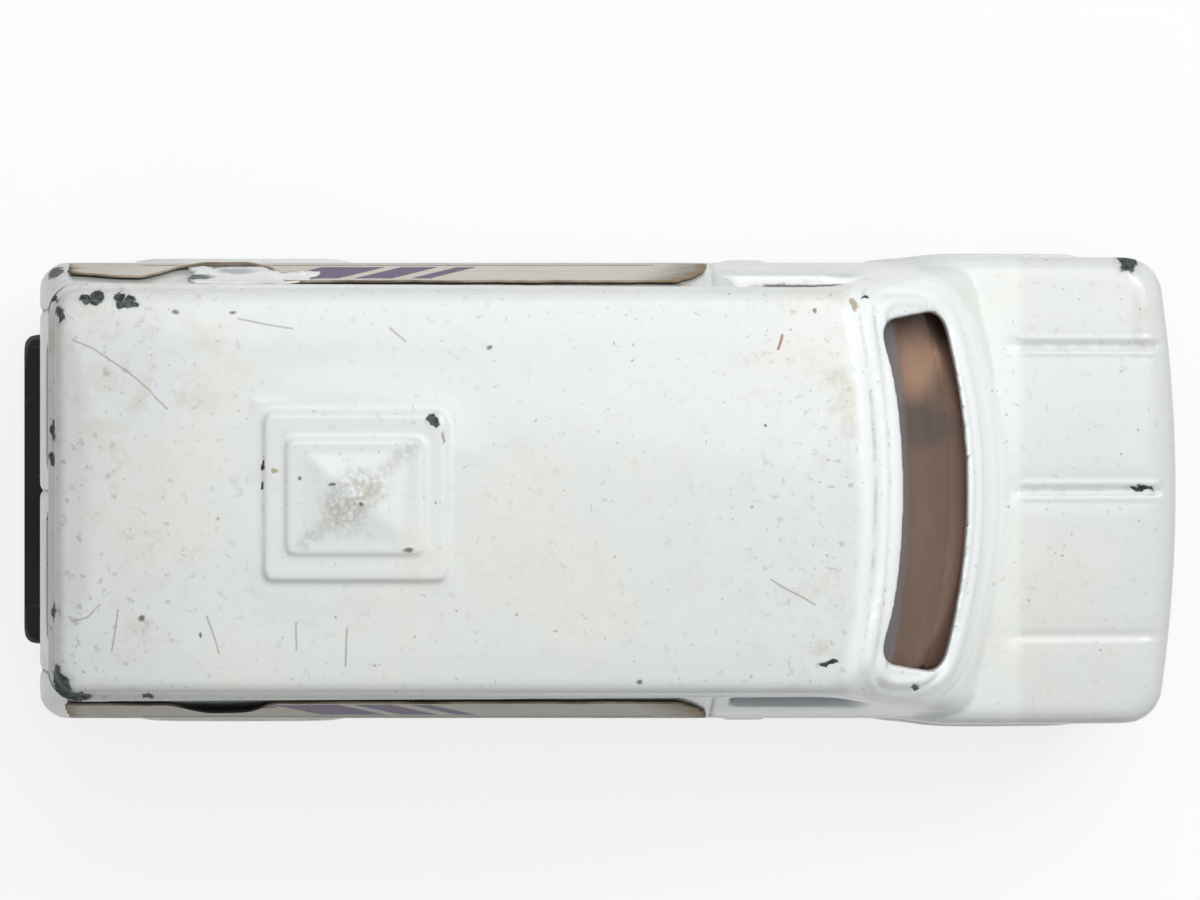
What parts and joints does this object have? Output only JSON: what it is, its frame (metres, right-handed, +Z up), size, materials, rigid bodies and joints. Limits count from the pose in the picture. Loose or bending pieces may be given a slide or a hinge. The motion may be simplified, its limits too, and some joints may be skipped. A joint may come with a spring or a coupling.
{
  "type": "toy panel van",
  "caption": "Die-cast toy panel van: painted metal body riveted over a plastic base, tinted glazing, seats and dash inside, paper side labels and rolling wheels.",
  "frame": {"origin": "on the ground under the middle of the van's box", "axes": "+X to the nose, +Y to the van's left side, +Z up"},
  "size_m": [0.0736, 0.0302, 0.0297],
  "materials": {
    "white_paint": "gloss enamel, worn and chipped",
    "smoked_clear": "tinted clear plastic",
    "brown_plastic": "satin moulded",
    "black_plastic": "satin moulded, scuffed",
    "plating": "vacuum plated plastic, dulled",
    "steel": "drawn wire",
    "tyre": "moulded, scuffed",
    "label_paper": "aged paper, torn and stained"
  },
  "bodies": {
    "van": {"body_shell": "white_paint", "glazing": "smoked_clear", "interior": "brown_plastic", "steering_wheel": "black_plastic", "base_plate": "black_plastic", "grille": "plating", "left_label": "label_paper", "right_label": "label_paper", "front_axle_keeper": "black_plastic", "rear_axle_keeper": "black_plastic"},
    "front_axle_body": {"front_axle": "steel"},
    "rear_axle_body": {"rear_axle": "steel"},
    "front_left_wheel": {"front_left_rim": "plating", "front_left_tyre": "tyre"},
    "front_right_wheel": {"front_right_rim": "plating", "front_right_tyre": "tyre"},
    "rear_left_wheel": {"rear_left_rim": "plating", "rear_left_tyre": "tyre"},
    "rear_right_wheel": {"rear_right_rim": "plating", "rear_right_tyre": "tyre"}
  },
  "joints": [
    {"name": "front_axle_spin", "type": "hinge", "parent": "van", "child": "front_axle_body", "pos_m": [0.0246, 0, 0.0055], "axis": [0, 1, 0], "continuous": true},
    {"name": "rear_axle_spin", "type": "hinge", "parent": "van", "child": "rear_axle_body", "pos_m": [-0.0224, 0, 0.0055], "axis": [0, 1, 0], "continuous": true},
    {"name": "front_left_wheel_spin", "type": "hinge", "parent": "front_axle_body", "child": "front_left_wheel", "pos_m": [0.0246, 0.0119, 0.0055], "axis": [0, 1, 0], "continuous": true},
    {"name": "front_right_wheel_spin", "type": "hinge", "parent": "front_axle_body", "child": "front_right_wheel", "pos_m": [0.0246, -0.0119, 0.0055], "axis": [0, 1, 0], "continuous": true},
    {"name": "rear_left_wheel_spin", "type": "hinge", "parent": "rear_axle_body", "child": "rear_left_wheel", "pos_m": [-0.0224, 0.0119, 0.0055], "axis": [0, 1, 0], "continuous": true},
    {"name": "rear_right_wheel_spin", "type": "hinge", "parent": "rear_axle_body", "child": "rear_right_wheel", "pos_m": [-0.0224, -0.0119, 0.0055], "axis": [0, 1, 0], "continuous": true}
  ]
}
